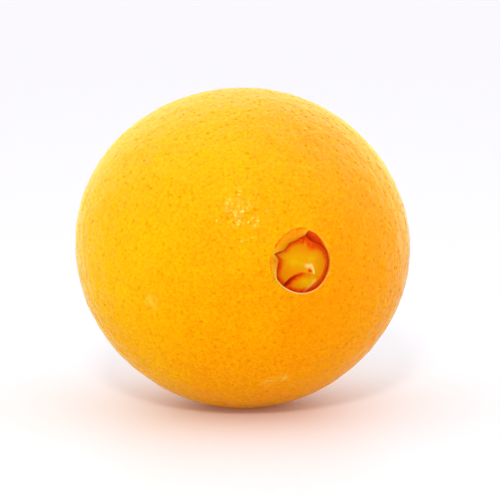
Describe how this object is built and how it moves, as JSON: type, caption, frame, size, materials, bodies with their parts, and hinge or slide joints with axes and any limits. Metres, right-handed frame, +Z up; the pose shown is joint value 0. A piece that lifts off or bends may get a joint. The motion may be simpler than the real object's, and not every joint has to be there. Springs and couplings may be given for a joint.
{
  "type": "navel orange",
  "caption": "Whole ripe navel orange lying on its side, with an open navel at one end and a dry stem button at the other.",
  "frame": {"origin": "under the middle of the fruit's box, on the surface it rests on", "axes": "+Z up from the rest spot; the navel faces -Y and the stem end +Y; +X is the fruit's widest way across"},
  "size_m": [0.0852, 0.0844, 0.0808],
  "materials": {
    "rind": "satin",
    "dry_calyx": "matte"
  },
  "bodies": {
    "root": {"fruit": "rind", "stem_button": "dry_calyx"}
  },
  "joints": []
}
